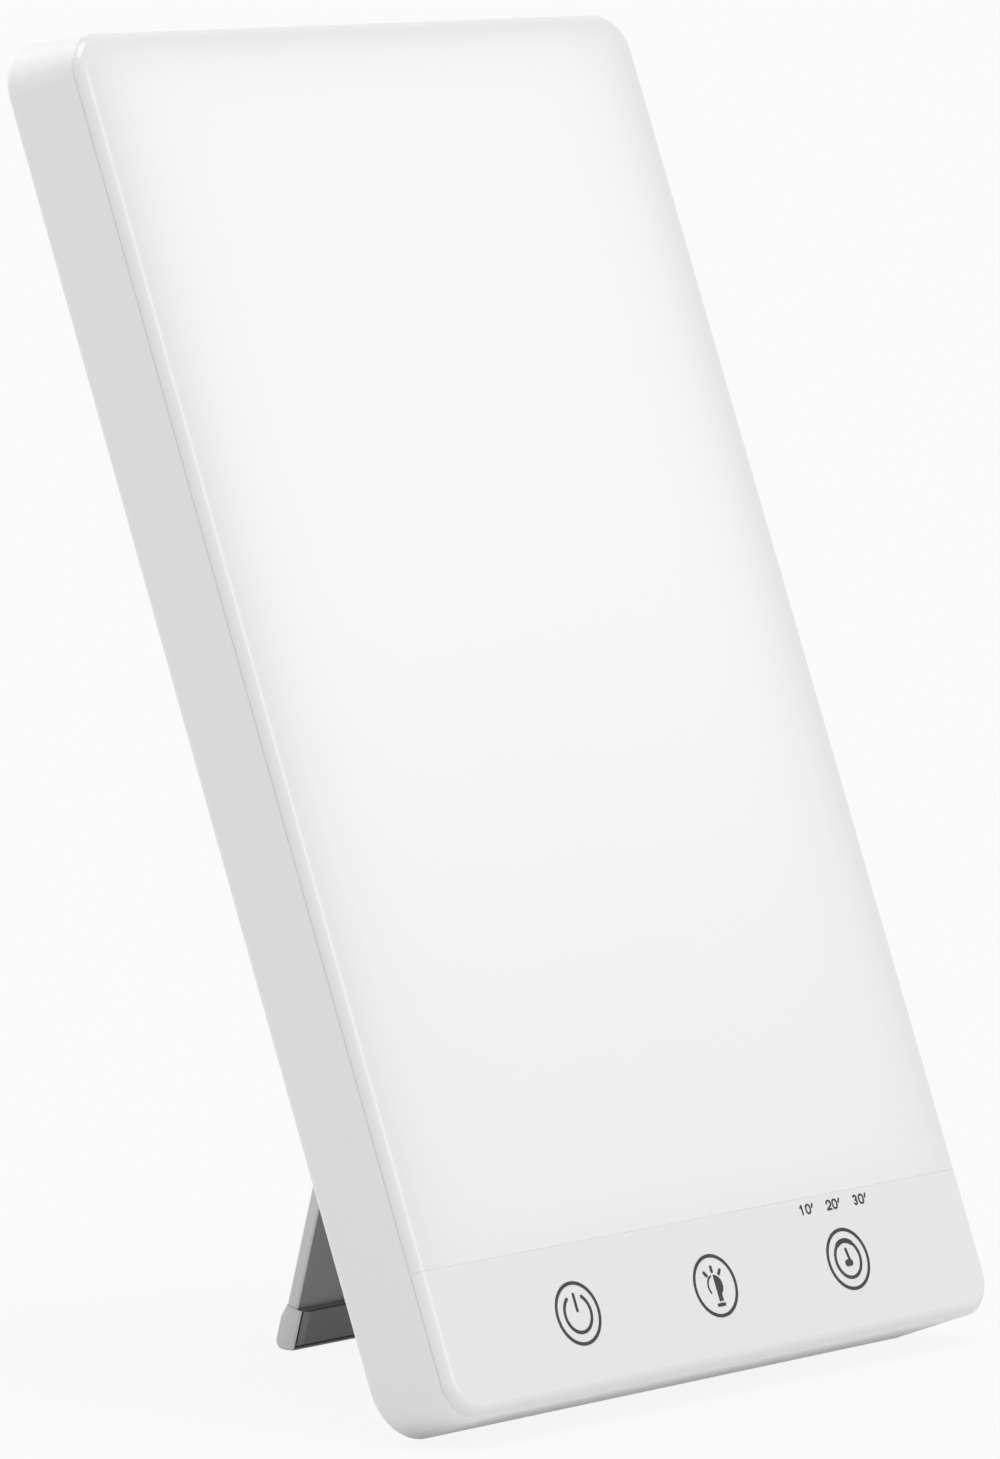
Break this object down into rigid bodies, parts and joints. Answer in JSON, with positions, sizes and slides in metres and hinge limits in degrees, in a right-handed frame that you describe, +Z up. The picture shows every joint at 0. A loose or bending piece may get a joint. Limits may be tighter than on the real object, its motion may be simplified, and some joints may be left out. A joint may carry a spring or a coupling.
{
  "type": "light therapy lamp",
  "caption": "Thin portrait light panel with a lit diffuser, a touch strip with printed icons, a DC power inlet and a fold-out rear stand that leans it back.",
  "frame": {"origin": "middle of the bounding box on the floor, below the open lamp", "axes": "+Z up, +X to the right as seen from the lit front, +Y from front to back"},
  "size_m": [0.15, 0.1066, 0.2393],
  "materials": {
    "milky_acrylic": "smooth satin, milky, glows evenly when lit",
    "white_plastic": "smooth satin white moulded plastic",
    "printed_ink": "thin dark grey screen print",
    "frosted_film": "frosted translucent film",
    "reflector_white": "highly reflective matt white",
    "led_board_mask": "white solder mask on glass fibre board",
    "led_package": "white package with a yellow phosphor window",
    "screw_steel": "zinc-plated steel",
    "foam_black": "closed-cell black foam",
    "board_green": "green solder mask on glass fibre board",
    "pad_foam": "conductive grey foam",
    "indicator_lens": "clear-white LED package",
    "chip_black": "moulded black epoxy with tinned leads",
    "ferrite": "dark grey ferrite",
    "can_aluminium": "drawn aluminium can",
    "jack_black": "black moulded plastic",
    "jack_contact": "bright nickel plating",
    "plug_nylon": "natural white nylon",
    "wire_red": "red PVC insulation",
    "wire_black": "black PVC insulation",
    "pin_steel": "ground steel",
    "washer_nylon": "natural white nylon",
    "stand_plastic": "light grey moulded plastic with a fine grain",
    "foot_rubber": "soft matt grey rubber"
  },
  "bodies": {
    "panel": {"front_diffuser": "milky_acrylic", "control_panel": "white_plastic", "rear_case": "white_plastic", "power_icon": "printed_ink", "brightness_icon": "printed_ink", "timer_icon": "printed_ink", "time_numbers": "printed_ink", "diffuser_film": "frosted_film", "reflector_frame": "reflector_white", "led_board": "led_board_mask", "led_chips": "led_package", "board_screws": "screw_steel", "light_barrier": "foam_black", "control_board": "board_green", "control_screws": "screw_steel", "touch_pads": "pad_foam", "indicator_leds": "indicator_lens", "touch_chip": "chip_black", "driver_chip": "chip_black", "power_inductor": "ferrite", "capacitors": "can_aluminium", "dc_jack": "jack_black", "dc_jack_pin": "jack_contact", "wire_plugs": "plug_nylon", "red_wire": "wire_red", "black_wire": "wire_black", "hinge_pin": "pin_steel", "friction_washers": "washer_nylon"},
    "stand": {"stand_leg": "stand_plastic", "stand_foot": "foot_rubber"}
  },
  "joints": [
    {"name": "stand_fold", "type": "hinge", "parent": "panel", "child": "stand", "pos_m": [0, 0.00589, 0.11965], "axis": [1, 0, 0], "range_deg": [-36.3, 0]}
  ]
}
